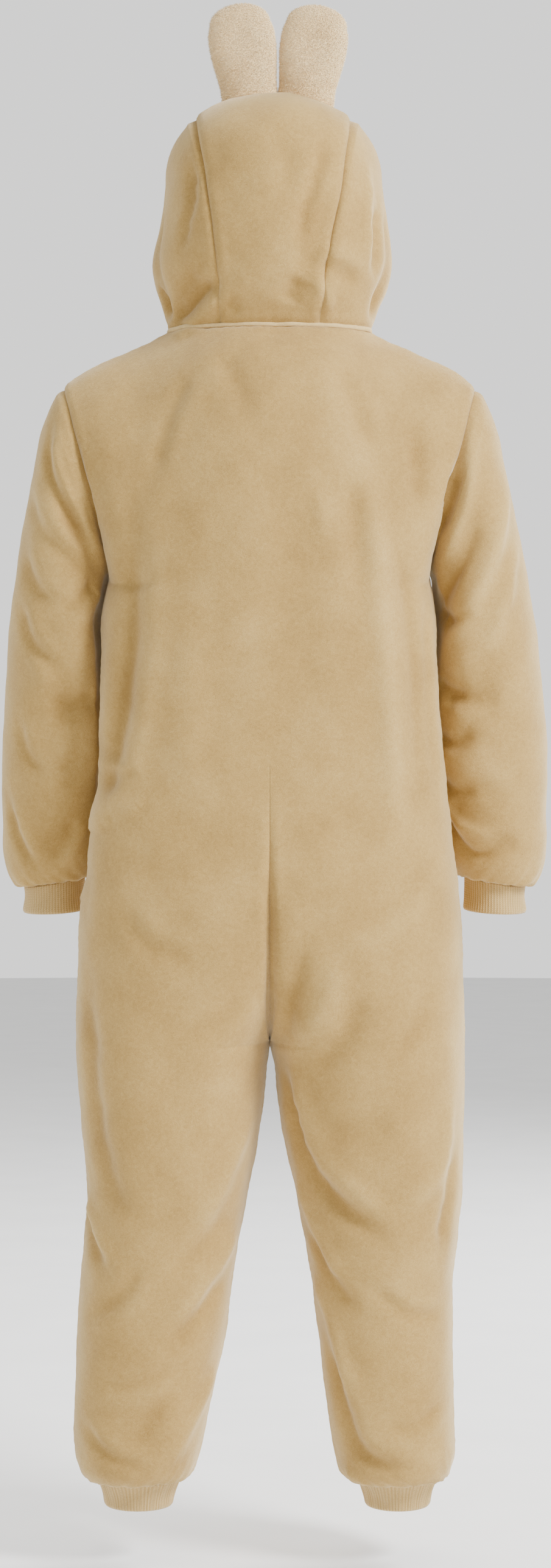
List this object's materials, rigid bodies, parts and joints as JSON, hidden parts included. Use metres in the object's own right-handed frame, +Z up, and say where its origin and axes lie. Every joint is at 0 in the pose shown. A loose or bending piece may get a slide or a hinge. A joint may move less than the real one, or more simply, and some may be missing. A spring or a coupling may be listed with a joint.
{
  "type": "monster onesie",
  "caption": "Loose hooded onesie in plush fleece with two round stuffed ears on the hood, rib-knit cuffs and a front zip, in its standing worn form.",
  "frame": {"origin": "level with the nape seam, in the middle of the neck, where the wearer's shoulders hold the garment up", "axes": "+Z up along the standing garment, +Y towards its back, +X towards the wearer's left, so that its front with the zip faces -Y"},
  "size_m": [0.67, 0.2921, 1.8222],
  "materials": {
    "fleece": "short matte plush pile with a soft sheen",
    "ear_plush": "longer soft plush pile",
    "rib_knit": "matte rib knit",
    "zip_tape": "woven tape with moulded teeth",
    "zip_metal": "satin metal"
  },
  "bodies": {
    "garment": {"back": "fleece", "front_left": "fleece", "front_right": "fleece", "sleeve_left": "fleece", "sleeve_right": "fleece", "hood_centre": "fleece", "hood_side_left": "fleece", "hood_side_right": "fleece", "zip_chain": "zip_tape", "wrist_cuff_left": "rib_knit", "wrist_cuff_right": "rib_knit", "ankle_cuff_left": "rib_knit", "ankle_cuff_right": "rib_knit", "ear_back_left": "ear_plush", "ear_front_left": "ear_plush", "ear_back_right": "ear_plush", "ear_front_right": "ear_plush", "zip_slider": "zip_metal"},
    "pull_tab": {"zip_pull": "zip_metal"}
  },
  "joints": [
    {"name": "pull_tab_hinge", "type": "hinge", "parent": "garment", "child": "pull_tab", "pos_m": [0, -0.10456, -0.04717], "axis": [-1, 0, 0], "range_deg": [-12, 150]}
  ]
}
